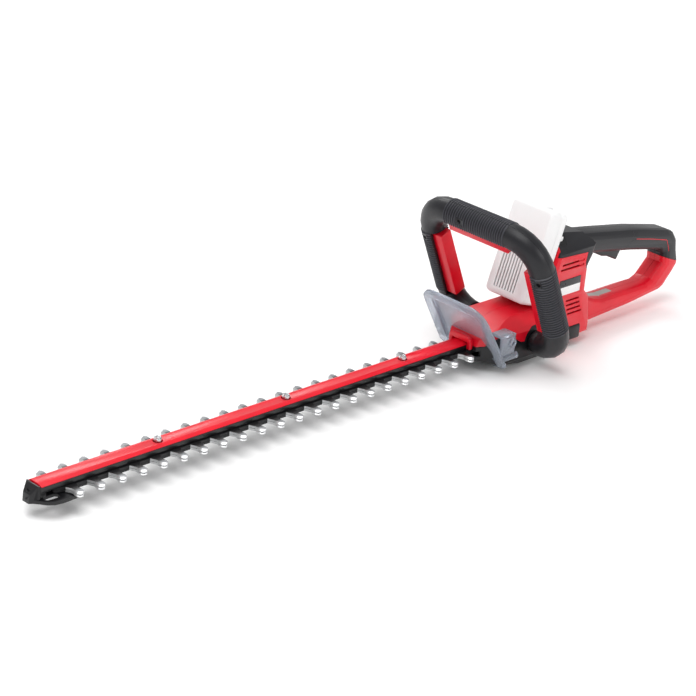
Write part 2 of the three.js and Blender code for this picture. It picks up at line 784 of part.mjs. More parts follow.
// Cooling slots in the sides of the motor housing.
function vents() {
  const rows = [
    [33, 70, 102],
    [31, 70, 96.5],
    [46, 68, 57.5],
    [47, 70, 52],
    [49, 72, 46.5],
    [51, 75, 41],
  ];
  return rows.flatMap(([x0, x1, z]) =>
    [-1, 1].map((s) => box(x0, x1, s > 0 ? 20 : -60, s > 0 ? 60 : -20, z - 1.1, z + 1.1)),
  );
}

// Housing screws go in from the left; each runs through a post that joins the two shells.
const SCREWS = [
  { x: 84, z: 30, half: BLOCK_HALF },
  { x: 66, z: 100, half: BLOCK_HALF },
  { x: 228, z: 26, half: HANDLE_HALF },
  { x: 250, z: 72, half: HANDLE_HALF },
];
const SCREW_RADIUS = 3;
const SHANK_RADIUS = 1.6;

function screwHoles() {
  return SCREWS.flatMap(({ x, z, half }) => [
    rod([x, half - 5, z], [x, 60, z], SCREW_RADIUS + GAP, 12),
    rod([x, 5 - half, z], [x, 60, z], SHANK_RADIUS + GAP, 10),
  ]);
}

function screwPosts() {
  return SCREWS.map(({ x, z, half }) => rod([x, 1 - half, z], [x, half - 1, z], SCREW_RADIUS + 2, 12));
}

function housingScrew({ x, z, half }) {
  const head = rod([x, half - 5 + GAP, z], [x, half - 2.5, z], SCREW_RADIUS, 12);
  return head.add(rod([x, 6 - half, z], [x, half - 4, z], SHANK_RADIUS, 10));
}

function railPocket() {
  return packBox(-1, RAIL_DEPTH + GAP, -RAIL_HALF_WIDTH - GAP, RAIL_HALF_WIDTH + GAP, RAIL_BOTTOM - GAP, 140);
}

function shells() {
  const walls = outerBody().subtract(innerBody());
  const passages = [
    bladeExit(),
    railPocket(),
    side(triggerSide(1.8), TRIGGER_HALF + RUN),
    rearFoot(GAP),
    labelBox(GAP, 1),
    labelBox(GAP, -1),
    ...vents(),
  ];
  const open = cut(walls, ...passages);
  const posts = union(...screwPosts()).intersect(outerBody());
  const withPosts = cut(open.add(posts), ...screwHoles());
  return {
    red: cut(withPosts, gripZone(GAP), coverZone(GAP)),
    grip: withPosts.intersect(gripZone(0)),
    cover: cut(walls, bladeExit()).intersect(coverZone(0)),
  };
}

// The largest separate piece of a solid that a cut may have left with loose slivers.
function largest(body) {
  return body.decompose().reduce((a, b) => (b.volume() > a.volume() ? b : a));
}

const made = shells();
part("housing_right", largest(made.red.intersect(rightHalf())), RED);
part("housing_left", largest(made.red.intersect(leftHalf())), RED);
part("grip_right", largest(made.grip.intersect(rightHalf())), SOFT_BLACK);
part("grip_left", largest(made.grip.intersect(leftHalf())), SOFT_BLACK);

function gearboxCover() {
  const seatBottom = LOWER_BEARING_Z - GAP;
  const seat = rod([CRANK_X, 0, WALL - 1], [CRANK_X, 0, LOWER_BEARING_Z + BEARING_HEIGHT], BEARING_RADIUS + 3, 24)
    .intersect(bodyForm(0.5));
  const bore = rod([CRANK_X, 0, seatBottom], [CRANK_X, 0, 20], BEARING_RADIUS + GAP, 24);
  const well = rod([CRANK_X, 0, 2.4], [CRANK_X, 0, 20], AXLE_RADIUS + GAP, 16);
  return largest(cut(made.cover.add(seat), bore, well));
}
part("gearbox_cover", gearboxCover(), BLACK);

// A red arch that closes the gap round the rail where it leaves the housing.
function noseCollar() {
  const half = RAIL_HALF + 5.5;
  const arch = [
    [-half, RAIL_Z + 1.5],
    [half, RAIL_Z + 1.5],
    [half, RAIL_Z + 8],
    ...arc(half - 7, RAIL_Z + 8.5, 7, 20, 90, 3),
    ...arc(7 - half, RAIL_Z + 8.5, 7, 90, 160, 3),
    [-half, RAIL_Z + 8],
  ];
  return cut(across(arch, -87.5, -82.3), bladeExit());
}
part("nose_collar", noseCollar(), RED);
part("rear_foot", rearFoot(0), SOFT_BLACK);

[
  ["right", -1],
  ["left", 1],
].forEach(([name, s]) => part(`label_plate_${name}`, labelBox(0, s), BLACK));

SCREWS.forEach((place, i) => part(`housing_screw_${i + 1}`, housingScrew(place), DARK_STEEL));

// ---------------------------------------------------------------- battery and its rail

function batteryRail() {
  const bodyBlock = packBox(0, RAIL_DEPTH, -RAIL_HALF_WIDTH, RAIL_HALF_WIDTH, RAIL_BOTTOM, RAIL_UPPER_END);
  const neck = packBox(-1, RAIL_NECK + 1, -RAIL_NECK_HALF - RUN, RAIL_NECK_HALF + RUN, 14 - RUN, 120);
  const head = packBox(
    RAIL_NECK - RUN,
    RAIL_NECK + RAIL_HEAD + RUN,
    -RAIL_HEAD_HALF - RUN,
    RAIL_HEAD_HALF + RUN,
    14 - RUN,
    120,
  );
  return cut(bodyBlock, neck, head).intersect(outerBody());
}

const PACK_SPLIT = -13; // where the pack's two shells meet
const PACK_EDGE = 6;

function packForm(grow) {
  const outline = roundedBox(
    -PACK_HALF + grow,
    PACK_HALF - grow,
    grow,
    PACK_LENGTH - grow,
    PACK_EDGE - grow / 2,
    3,
  );
  const depth = PACK_THICK / 2 - grow;
  const slabGeometry = slab(outline, depth, 4 - grow / 2, 2);
  const stand = new THREE.Matrix4()
    .makeTranslation(-PACK_THICK / 2 - 0.4, 0, 0)
    .multiply(FRONT);
  return solid(slabGeometry.applyMatrix4(stand), PACK);
}

const VENT_PITCH = 3.9;
const VENT_SHIFT = 3;

function packVents() {
  return [...Array(8).keys()].map((i) => {
    const y = VENT_SHIFT + (i - 3.5) * VENT_PITCH;
    return packBox(-PACK_THICK - 2, -PACK_THICK + 6, y - 0.8, y + 0.8, 8, 54);
  });
}

const BUTTON = { half: 11, x0: -22, x1: -10, out: 3, travel: 2.5 };

function batteryShells() {
  const hollow = packForm(PACK_WALL);
  const well = packBox(BUTTON.x0 - RUN, BUTTON.x1 + RUN, -BUTTON.half - RUN, BUTTON.half + RUN,
    PACK_LENGTH - 8, PACK_LENGTH + 5);
  const shell = cut(packForm(0), hollow, well);
  const front = cut(shell, packBox(PACK_SPLIT - GAP / 2, 30, -60, 60, -20, 140), ...packVents());
  const foot = union(
    packBox(-1.5, RAIL_NECK + 1, -RAIL_NECK_HALF, RAIL_NECK_HALF, 15, 80),
    packBox(RAIL_NECK, RAIL_NECK + RAIL_HEAD, -RAIL_HEAD_HALF, RAIL_HEAD_HALF, 15, 80),
  );
  const back = shell.subtract(packBox(-60, PACK_SPLIT + GAP / 2, -60, 60, -20, 140)).add(foot);
  return { front: largest(front), back: largest(back) };
}

// Five cells in one welded block, joined by nickel strips.
function batteryCells() {
  const pitch = 2 * CELL_RADIUS + 0.4;
  const cells = [...Array(5).keys()].map((i) => {
    const z = PACK_WALL + CELL_RADIUS + 3 + i * pitch * 0.92;
    const geometry = new THREE.CylinderGeometry(CELL_RADIUS * 0.95, CELL_RADIUS * 0.95, 46, 20);
    return inPack(geometry.translate(-PACK_THICK / 2, 0, z - 2));
  });
  const strip = packBox(-PACK_THICK / 2 - 3, -PACK_THICK / 2 + 3, 22, 24, PACK_WALL + 4, PACK_LENGTH - 16);
  return largest(union(...cells, strip));
}

function batteryButton() {
  const cap = packBox(BUTTON.x0, BUTTON.x1, -BUTTON.half, BUTTON.half, PACK_LENGTH - 6, PACK_LENGTH + 1.6);
  return cap;
}

const pack = batteryShells();
part("battery_rail", batteryRail(), BLACK);
part("battery_front", pack.front, WHITE);
part("battery_back", pack.back, WHITE);
part("battery_cells", batteryCells(), STEEL);
part("battery_button", batteryButton(), WHITE);

// ---------------------------------------------------------------- trigger, switch and board

const TRIGGER_PIN = [111.5, 98.3];
const PIN_RADIUS = 1.6;

function trigger() {
  const lever = side(triggerSide(0), TRIGGER_HALF, 1.2, 1);
  return lever.subtract(rod([TRIGGER_PIN[0], -20, TRIGGER_PIN[1]], [TRIGGER_PIN[0], 20, TRIGGER_PIN[1]],
    PIN_RADIUS + GAP, 12));
}
part("trigger", trigger(), SOFT_BLACK);
part("trigger_pin", rod([TRIGGER_PIN[0], -8, TRIGGER_PIN[1]], [TRIGGER_PIN[0], 8, TRIGGER_PIN[1]], PIN_RADIUS, 12),
  STEEL);
part("main_switch", box(173, 197, -7, 7, 87, 99), BLACK);
part("trigger_spring", side([
  [148, 99.9],
  [172, 102.6],
  [172, 103.4],
  [148, 100.7],
], 2.5), STEEL);
part("control_board", box(46, 60, -24, -22.4, 66, 104), BOARD);

// ---------------------------------------------------------------- loop handle

// Loop coordinates: x across the machine, y up along the loop, z towards the rear.
const LOOP_UP = new THREE.Vector3(-Math.sin(LOOP_TILT), 0, Math.cos(LOOP_TILT));
const LOOP = new THREE.Matrix4()
  .makeBasis(new THREE.Vector3(0, 1, 0), LOOP_UP, new THREE.Vector3(Math.cos(LOOP_TILT), 0, Math.sin(LOOP_TILT)))
  .setPosition(LOOP_FOOT_X, 0, LOOP_FOOT_Z);
const loopBox = (x0, x1, y0, y1, z0, z1) =>
  solid(
    new THREE.BoxGeometry(x1 - x0, y1 - y0, z1 - z0).translate((x0 + x1) / 2, (y0 + y1) / 2, (z0 + z1) / 2),
    LOOP,
  );

// The loop's centre line, from the right foot over the top bar to the left foot.
class LoopLine extends THREE.Curve {
  constructor() {
    super();
    const path = new THREE.Path();
    const foot = LOOP_LEG - LOOP_FOOT_BEND;
    const corner = LOOP_LEG - LOOP_CORNER;
    path.absarc(-foot, LOOP_FOOT_BEND, LOOP_FOOT_BEND, -Math.PI / 2, -Math.PI, true);
    path.absarc(-corner, LOOP_RISE - LOOP_CORNER, LOOP_CORNER, Math.PI, Math.PI / 2, true);
    path.absarc(corner, LOOP_RISE - LOOP_CORNER, LOOP_CORNER, Math.PI / 2, 0, true);
    path.absarc(foot, LOOP_FOOT_BEND, LOOP_FOOT_BEND, 0, -Math.PI / 2, true);
    this.path = path;
  }
  getPoint(t, target = new THREE.Vector3()) {
    const p = this.path.getPoint(t);
    return target.set(p.x, p.y, 0);
  }
}

const LOOP_STEPS = 52;
const CUT_DEPTH = 5.6; // the grip's inner side is cut flat for the paddles, this far from its centre

function loopShell(sign) {
  const outer = arc(0, 0, LOOP_RADIUS, -90, 90, 8);
  const inner = arc(0, 0, LOOP_RADIUS - LOOP_WALL, 90, -90, 6);
  const section = [...outer, ...inner].map(([x, y]) => [sign * Math.max(x, GAP / 2), y]);
  if (sign < 0) section.reverse();
  const geometry = new THREE.ExtrudeGeometry(shapeOf(section), {
    steps: LOOP_STEPS,
    extrudePath: new LoopLine(),
    bevelEnabled: false,
  });
  return solid(geometry, LOOP);
}

const PADDLE = { low: 30, high: 113, half: 42, in: 18.2, out: 2 };

// A paddle in one of the three sides of the loop, in loop coordinates.
function paddleBody(where, grow, travel) {
  const z0 = -PADDLE_FRONT - grow;
  const z1 = PADDLE_BACK + grow;
  if (where === "top") {
    const y1 = LOOP_RISE - PADDLE.out + grow + travel;
    return loopBox(-PADDLE.half - grow, PADDLE.half + grow, LOOP_RISE - PADDLE.in - grow, y1, z0, z1);
  }
  const innerX = LOOP_LEG - PADDLE.in - grow;
  const outerX = LOOP_LEG - PADDLE.out + grow + travel;
  const right = where === "right";
  return loopBox(right ? -outerX : innerX, right ? -innerX : outerX, PADDLE.low - grow, PADDLE.high + grow, z0, z1);
}

function loopCuts() {
  const paddles = ["right", "top", "left"].map((where) => paddleBody(where, RUN, PADDLE_TRAVEL));
  const flat = LOOP_LEG - CUT_DEPTH;
  const legs = [-1, 1].map((s) =>
    loopBox(s > 0 ? 30 : -flat, s > 0 ? flat : -30, PADDLE.low - 2, PADDLE.high + 2, -20, 20),
  );
  const top = loopBox(-PADDLE.half - 2, PADDLE.half + 2, LOOP_RISE - 30, LOOP_RISE - CUT_DEPTH, -20, 20);
  return [...paddles, ...legs, top];
}

// Loop screws, given by where they stand across the machine and up the loop.
const LOOP_POST = 3.4;
const LOOP_HEAD = 2.4;
const LOOP_SCREW_OUT = PADDLE_TRAVEL - PADDLE.out + LOOP_POST + GAP; // past a pressed paddle
const LOOP_SCREWS = {
  right: [-LOOP_LEG - LOOP_SCREW_OUT, 107],
  top: [19, LOOP_RISE + LOOP_SCREW_OUT],
  left: [LOOP_LEG + LOOP_SCREW_OUT, 107],
};
const loopRod = ([x, y], z0, z1, radius) =>
  solid(
    new THREE.CylinderGeometry(radius, radius, z1 - z0, 12).rotateX(Math.PI / 2).translate(x, y, (z0 + z1) / 2),
    LOOP,
  );

function loopFront() {
  const places = Object.values(LOOP_SCREWS);
  const posts = places.map((at) => loopRod(at, -12.2, -6.9, LOOP_POST));
  const heads = places.map((at) => loopRod(at, -20, -9.6, LOOP_HEAD + GAP));
  const shanks = places.map((at) => loopRod(at, -12, -6, SHANK_RADIUS + GAP));
  return largest(cut(union(cut(loopShell(1), ...loopCuts()), ...posts), ...heads, ...shanks));
}
part("loop_front", loopFront(), BLACK);
for (const [name, at] of Object.entries(LOOP_SCREWS)) {
  const screw = loopRod(at, -11.6, -9.9, LOOP_HEAD).add(loopRod(at, -10.5, -7, SHANK_RADIUS));
  part(`loop_screw_${name}`, screw, DARK_STEEL);
}
part("loop_rear", largest(cut(loopShell(-1), ...loopCuts())), BLACK);
["right", "top", "left"].forEach((where) => part(`paddle_${where}`, paddleBody(where, 0, 0), RED));

// Bosses that carry the loop's feet on the sides of the gear housing.
const BOSS_OUT = LOOP_LEG - LOOP_FOOT_BEND - GAP;
[
  ["right", -1],
  ["left", 1],
].forEach(([name, s]) => {
  const at = (y) => [LOOP_FOOT_X, s * y, LOOP_FOOT_Z];
  part(`loop_boss_${name}`, rod(at(BODY_HALF + GAP), at(BOSS_OUT), BOSS_RADIUS, 28), BLACK);
});

// Leaf springs that push the paddles back out.
function paddleSpring(where) {
  const root = PADDLE.out - PADDLE_TRAVEL - 2 * GAP;
  const wave = (u0, v) => [
    [u0 - 12, v],
    [u0, v + 4],
    [u0 + 12, v],
    [u0 + 12, v + 0.7],
    [u0, v + 4.7],
    [u0 - 12, v + 0.7],
  ];
  const middle = (PADDLE.low + PADDLE.high) / 2;
  const geometry = (points) => slab(points, 2);
  if (where === "top") return solid(geometry(wave(0, LOOP_RISE - root + GAP)), LOOP);
  const s = where === "right" ? -1 : 1;
  const points = wave(middle, LOOP_LEG - root + GAP).map(([u, v]) => [s * v, u]);
  return solid(geometry(s > 0 ? points.reverse() : points), LOOP);
}
["right", "top", "left"].forEach((where) => part(`paddle_spring_${where}`, paddleSpring(where), STEEL));

// ---------------------------------------------------------------- guard

// Guard coordinates: x across, y up along the guard, z towards the rear.
const GUARD = new THREE.Matrix4()
  .makeBasis(
    new THREE.Vector3(0, 1, 0),
    new THREE.Vector3(-Math.sin(GUARD_TILT), 0, Math.cos(GUARD_TILT)),
    new THREE.Vector3(Math.cos(GUARD_TILT), 0, Math.sin(GUARD_TILT)),
  )
  .setPosition(GUARD_X, 0, GUARD_Z);

const GUARD_BAND = 13;
const GUARD_CORNER = 20;
const guardOutline = (d) => [
  ...arc(GUARD_HALF - GUARD_CORNER, GUARD_TOP - GUARD_CORNER, GUARD_CORNER - d, 0, 90, 5),
  ...arc(GUARD_CORNER - GUARD_HALF, GUARD_TOP - GUARD_CORNER, GUARD_CORNER - d, 90, 180, 5),
  [-GUARD_HALF - 2 + d, GUARD_BOTTOM + 6 + 0.6 * d],
  [-GUARD_HALF + 6 + 0.8 * d, GUARD_BOTTOM + d],
  [GUARD_HALF - 6 - 0.8 * d, GUARD_BOTTOM + d],
  [GUARD_HALF + 2 - d, GUARD_BOTTOM + 6 + 0.6 * d],
];
const guardPlate = (outline, z0, z1) =>
  solid(slab(outline, (z1 - z0) / 2).translate(0, 0, (z0 + z1) / 2), GUARD);

const LUG = { x0: -74, x1: -53, out: BODY_HALF + 8, wall: 3, z0: 28, z1: 50, screwX: -58, screwZ: 40 };

function guard() {
  const field = guardOutline(GUARD_BAND);
  const step = guardOutline(GUARD_BAND - GUARD_WALL);
  const band = guardPlate(guardOutline(0), -GUARD_STEP, GUARD_WALL - GUARD_STEP);
  const dish = guardPlate(step, -GUARD_STEP, GUARD_WALL);
  const hollow = guardPlate(field, -GUARD_STEP - 1, 0);
  const tools = [outerBody(), bladeExit()];
  const lugs = [-1, 1].flatMap((s) => {
    const y = (a, b) => (s > 0 ? [a, b] : [-b, -a]);
    const backX = LUG.x1;
    const wall = box(LUG.x0, backX, ...y(LUG.out - LUG.wall, LUG.out), LUG.z0, LUG.z1);
    const roof = box(LUG.x0, backX, ...y(BODY_HALF - 8, LUG.out), LUG.z1 - LUG.wall, LUG.z1);
    const peg = rod([-68, s * (LUG.out - 3.8), 22], [-45, s * (LUG.out - 3.8), 22], 3.8, 14);
    const ring = rod([LUG.screwX, s * (LUG.out - 1), LUG.screwZ], [LUG.screwX, s * (LUG.out + 2), LUG.screwZ], 5, 16);
    return [wall, roof, peg, ring];
  });
  const behind = guardPlate([[-80, -60], [80, -60], [80, 120], [-80, 120]], -GUARD_STEP, 60);
  const trimmed = union(...lugs).intersect(behind);
  const whole = cut(union(band, dish, trimmed), hollow);
  const screws = [-1, 1].map((s) =>
    rod([LUG.screwX, s * 30, LUG.screwZ], [LUG.screwX, s * 70, LUG.screwZ], 2 + GAP, 12));
  return largest(cut(whole, bodyForm(-RUN), ...tools, ...screws));
}
part("guard", guard(), SMOKE);

machine.name = "hedge_trimmer";
export default machine;
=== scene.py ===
"""Visual model of a cordless hedge trimmer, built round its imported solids.

Everything is in metres in the frame of the solids: +Z up, the blades towards -X,
and pieces named right towards -Y. Sizes written in millimetres are scaled by MM.
"""

import logging
import math
from dataclasses import dataclass, field
from enum import Enum
from typing import Callable, Sequence

import bmesh
import bpy
from mathutils import Matrix, Vector
from mathutils.bvhtree import BVHTree


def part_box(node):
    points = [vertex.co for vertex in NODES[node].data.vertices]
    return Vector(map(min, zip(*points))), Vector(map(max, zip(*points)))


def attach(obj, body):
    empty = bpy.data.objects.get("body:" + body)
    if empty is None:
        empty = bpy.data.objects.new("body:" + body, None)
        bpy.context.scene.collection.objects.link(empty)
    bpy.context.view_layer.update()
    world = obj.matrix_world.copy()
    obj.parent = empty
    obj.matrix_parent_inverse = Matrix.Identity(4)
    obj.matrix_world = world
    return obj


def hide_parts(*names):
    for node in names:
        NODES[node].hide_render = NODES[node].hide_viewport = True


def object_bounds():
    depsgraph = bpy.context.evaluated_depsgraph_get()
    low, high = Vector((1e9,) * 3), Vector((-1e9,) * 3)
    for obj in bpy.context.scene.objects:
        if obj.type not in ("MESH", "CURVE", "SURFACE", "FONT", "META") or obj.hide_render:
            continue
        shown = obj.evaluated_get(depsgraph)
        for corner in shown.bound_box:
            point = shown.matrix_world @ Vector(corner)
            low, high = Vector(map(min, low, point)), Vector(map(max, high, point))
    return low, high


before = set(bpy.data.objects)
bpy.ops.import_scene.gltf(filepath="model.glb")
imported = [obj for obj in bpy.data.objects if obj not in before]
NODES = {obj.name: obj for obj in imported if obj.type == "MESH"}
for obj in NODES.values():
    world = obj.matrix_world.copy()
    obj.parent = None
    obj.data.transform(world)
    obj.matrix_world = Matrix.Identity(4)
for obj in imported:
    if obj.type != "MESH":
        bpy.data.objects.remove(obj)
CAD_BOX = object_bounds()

LOG = logging.getLogger("hedge_trimmer")
MM = 0.001
MERGE = 0.002 * MM  # vertices closer than this are one
FLAT = math.radians(0.6)  # faces that differ by less are one face
SHARP = math.radians(38)  # edges above this angle stay crisp
FACETED = math.radians(17)  # the same, on forms that are meant to show their facets

DRIFT_SCALE = 38.0  # patches of colour about 26 mm across
NOISE_LOW, NOISE_HIGH = 0.3, 0.7  # the share of a noise's range that its values mostly fill
ROUGHNESS_SWING = 0.12  # how far the grain moves the roughness, as a share of it
TRACK_SCALE = 160.0  # rows of tracks 1.56 mm apart
COLOUR_A, COLOUR_B, MIXED_COLOUR = 6, 7, 2  # a Mix node's colour sockets, by index
HEAD_STEPS = 24  # corners round a screw head
LOBE_STEPS = HEAD_STEPS // 6  # corners for each of the recess's six lobes
LOBE_DEPTH = 0.8  # the recess's narrow places, as a share of its lobes' reach
RIBBON_STEP = 2.5  # the length of a ribbon's pieces, in millimetres
RIBBON_SINK = 0.1  # how far a ribbon's edges are set into what it lies on, in millimetres


class Side(Enum):
    """The two sides of the machine, as seen from the blade end."""

    RIGHT = -1
    LEFT = 1


class Grain(Enum):
    """How a surface was left by its making: the size of its grain in millimetres and its depth."""

    POLISHED = (2.6, 0.02)
    SATIN = (0.9, 0.05)
    SPARKED = (0.7, 0.14)
    CAST = (1.6, 0.4)


# ------------------------------------------------------------------ materials


def linear(code: str) -> tuple[float, float, float, float]:
    """Turns an sRGB hex colour into the linear colour that a shader takes.

    Args:
        code: six hex digits, such as "e3122a".

    Returns:
        Red, green, blue and an alpha of one.
    """
    shares = [int(code[i : i + 2], 16) / 255 for i in (0, 2, 4)]
    curve = [c / 12.92 if c <= 0.04045 else ((c + 0.055) / 1.055) ** 2.4 for c in shares]
    return (*curve, 1.0)


def add_node(
    tree: bpy.types.NodeTree, kind: str, values: dict | None = None, **settings
) -> bpy.types.Node:
    """Adds one shader node.

    Args:
        tree: the node tree.
        kind: the node's type without the ShaderNode prefix.
        values: for each input, a constant or the output socket that feeds it.
        **settings: the node's own properties.

    Returns:
        The new node.
    """
    made = tree.nodes.new("ShaderNode" + kind)
    for name, value in settings.items():
        setattr(made, name, value)
    for name, value in (values or {}).items():
        if isinstance(value, bpy.types.NodeSocket):
            tree.links.new(value, made.inputs[name])
        else:
            made.inputs[name].default_value = value
    return made


@dataclass(frozen=True)
class Finish:
    """A surface: what it is made of, how it was made, and how light meets it.

    The colour drifts a little from place to place, as on any moulded or ground piece, and a
    grain of real size is raised on top and moves the roughness. The stretch is by axis, and
    a small one draws the grain out along its axis.
    """

    name: str
    slot: str
    colour: str
    roughness: float
    grain: Grain
    metallic: float = 0.0
    ior: float = 1.5
    drift: float = 0.06
    sheen: float = 0.0
    coat: float = 0.0
    transmission: float = 0.0
    stretch: tuple[float, float, float] = (1.0, 1.0, 1.0)

    def tint(self, tree: bpy.types.NodeTree, place: bpy.types.NodeSocket) -> bpy.types.NodeSocket:
        """The colour before its drift; a finish with a pattern of its own overrides this.

        Args:
            tree: the node tree.
            place: Object coordinates, in metres.

        Returns:
            The colour's socket.
        """
        broad = add_node(
            tree, "TexNoise", {"Vector": place, "Scale": DRIFT_SCALE, "Detail": 3.0}
        )
        ramp = add_node(tree, "ValToRGB", {"Fac": broad.outputs["Fac"]})
        base = linear(self.colour)
        ends = zip(ramp.color_ramp.elements, (-1, 1), (NOISE_LOW, NOISE_HIGH))
        for stop, sign, position in ends:
            stop.position = position
            stop.color = (*(c * (1 + sign * self.drift) for c in base[:3]), 1.0)
        return ramp.outputs["Color"]

    def build(self) -> bpy.types.Material:
        """Makes the material, or returns the one made before.

        Returns:
            The material.
        """
        known = bpy.data.materials.get(self.name)
        if known:
            return known
        made = bpy.data.materials.new(self.name)
        made.use_nodes = True
        tree = made.node_tree
        tree.nodes.clear()
        place = add_node(tree, "TexCoord").outputs["Object"]
        size, depth = self.grain.value
        drawn = add_node(tree, "Mapping", {"Vector": place, "Scale": self.stretch})
        fine = add_node(
            tree,
            "TexNoise",
            {"Vector": drawn.outputs["Vector"], "Scale": 1 / (size * MM), "Detail": 2.0},
        )
        rough = add_node(
            tree,
            "MapRange",
            {
                "Value": fine.outputs["Fac"],
                "From Min": NOISE_LOW,
                "From Max": NOISE_HIGH,
                "To Min": self.roughness * (1 - ROUGHNESS_SWING),
                "To Max": min(1.0, self.roughness * (1 + ROUGHNESS_SWING)),
            },
        )
        bump = add_node(
            tree,
            "Bump",
            {"Height": fine.outputs["Fac"], "Strength": 0.6, "Distance": depth * MM * 0.5},
        )
        shader = add_node(
            tree,
            "BsdfPrincipled",
            {
                "Base Color": self.tint(tree, place),
                "Roughness": rough.outputs["Result"],
                "Normal": bump.outputs["Normal"],
                "Metallic": self.metallic,
                "Sheen Weight": self.sheen,
                "Coat Weight": self.coat,
                "Coat Roughness": 0.2,
                "Transmission Weight": self.transmission,
            },
        )
        if not self.metallic:
            shader.inputs["IOR"].default_value = self.ior
        add_node(tree, "OutputMaterial", {"Surface": shader.outputs["BSDF"]})
        return made


@dataclass(frozen=True)
class TwoToneFilm(Finish):
    """Printed film, dark above a level in metres and pale below it, left blank."""

    lower: str = "f2f2f2"
    level: float = 0.0

    def tint(self, tree: bpy.types.NodeTree, place: bpy.types.NodeSocket) -> bpy.types.NodeSocket:
        """The two fields of the film, split at its level.

        Args:
            tree: the node tree.
            place: Object coordinates, in metres.

        Returns:
            The colour's socket.
        """
        height = add_node(tree, "SeparateXYZ", {"Vector": place}).outputs["Z"]
        above = add_node(tree, "Math", {0: height, 1: self.level}, operation="GREATER_THAN")
        mix = add_node(tree, "Mix", {"Factor": above.outputs[0]}, data_type="RGBA")
        mix.inputs[COLOUR_A].default_value = linear(self.lower)
        mix.inputs[COLOUR_B].default_value = linear(self.colour)
        return mix.outputs[MIXED_COLOUR]


@dataclass(frozen=True)
class ToothSteel(Finish):
    """Blade steel: dark along the strip and the roots, a painted reflection of the black rail, and
    satin grey towards the tips.

    The black ends and the grey starts at lines given in millimetres from the middle plane.
    """

    tip: str = "8d8f92"
    root_line: float = 20.0
    tip_line: float = 24.0

    def tint(self, tree: bpy.types.NodeTree, place: bpy.types.NodeSocket) -> bpy.types.NodeSocket:
        """From the root's painted black reflection of the rail to the tip's grey, by the distance
        from the middle plane.

        Args:
            tree: the node tree.
            place: Object coordinates, in metres.

        Returns:
            The colour's socket.
        """
        across = add_node(tree, "SeparateXYZ", {"Vector": place}).outputs["Y"]
        reach = add_node(tree, "Math", {0: across}, operation="ABSOLUTE").outputs[0]
        share = add_node(
            tree,
            "MapRange",
            {"Value": reach, "From Min": self.root_line * MM, "From Max": self.tip_line * MM},
        ).outputs["Result"]
        mix = add_node(tree, "Mix", {"Factor": share}, data_type="RGBA")
        mix.inputs[COLOUR_A].default_value = linear(self.colour)
        mix.inputs[COLOUR_B].default_value = linear(self.tip)
        return mix.outputs[MIXED_COLOUR]


@dataclass(frozen=True)
class TracedBoard(Finish):
    """Lacquered circuit board: tracks show through the solder mask as paler lines."""

    def tint(self, tree: bpy.types.NodeTree, place: bpy.types.NodeSocket) -> bpy.types.NodeSocket:
        """Tracks about 1.5 mm apart under green lacquer.

        Args:
            tree: the node tree.
            place: Object coordinates, in metres.

        Returns:
            The colour's socket.
        """
        tracks = add_node(
            tree,
            "TexBrick",
            {"Vector": place, "Scale": TRACK_SCALE, "Mortar Size": 0.05},
            offset=0.3,
        )
        tracks.inputs["Color1"].default_value = linear(self.colour)
        tracks.inputs["Color2"].default_value = linear("1a5f37")
        tracks.inputs["Mortar"].default_value = linear("5fae6c")
        return tracks.outputs["Color"]


# ABS and glass-filled nylon are moulded: the ABS is satin, the nylon has the mould's spark grain.
RED_ABS = Finish("ABS moulded red", "red_plastic", "dd0a24", 0.32, Grain.SATIN, ior=1.46)
BLACK_NYLON = Finish(
    "Nylon moulded black", "black_plastic", "131316", 0.36, Grain.SPARKED, ior=1.45
)
# Soft elastomer is moulded over the shell and scatters a little light at its edges.
SOFT_TPE = Finish(
    "TPE moulded soft black", "soft_grip", "15151a", 0.4, Grain.SPARKED, ior=1.42, sheen=0.05
)
# The ribs are the same elastomer, coloured paler than the tube between them as a painted
# highlight, as if they catch the light.
RIB_TPE_PAINTED_HIGHLIGHT = Finish(
    "TPE ribs painted highlight", "soft_grip", "34343b", 0.42, Grain.SATIN, ior=1.45, sheen=0.1
)
# Smoked polycarbonate is clear enough to see through, with a bluish body.
SMOKED_PC = Finish(
    "Polycarbonate smoked",
    "guard_clear",
    "ccd4e0",
    0.22,
    Grain.POLISHED,
    ior=1.4,
    transmission=0.72,
)
# Blades are ground along their length, so the grain is drawn out along X.
ALONG_X = (0.08, 1.0, 1.0)
GROUND_STEEL = Finish(
    "Steel ground blade", "blade", "d8d9da", 0.38, Grain.SATIN, metallic=0.9, stretch=ALONG_X
)
# The teeth's flat faces are dark towards the roots, a painted reflection of the black rail, and
# grey towards the tips.
TOOTH_STEEL = ToothSteel(
    "Steel blade painted rail reflection", "blade", "1b1b1d", 0.46, Grain.SATIN, metallic=0.4, stretch=ALONG_X
)
# The rail is phosphated black, which hides the metal; bolts and pins are zinc plated.
PHOSPHATED_STEEL = Finish("Steel phosphated rail", "rail", "101012", 0.33, Grain.SATIN, ior=1.5)
ZINC_STEEL = Finish("Steel zinc plated", "fastener", "c3c4c6", 0.26, Grain.SATIN, metallic=1.0)
# Inner pieces: hardened steel, die-cast aluminium, sintered bronze and nickel-plated cells.
GEAR_STEEL = Finish("Steel hardened gear", "gear_steel", "7f8184", 0.36, Grain.SATIN, metallic=1.0)
CAST_ALUMINIUM = Finish("Aluminium die cast", "casting", "b6b8ba", 0.5, Grain.CAST, metallic=1.0)
SINTERED_BRONZE = Finish("Bronze sintered", "bearing", "b08d4c", 0.45, Grain.SATIN, metallic=1.0)
PLATED_CELL = Finish("Steel nickel plated cell", "cell", "9da0a5", 0.34, Grain.SATIN, metallic=1.0)
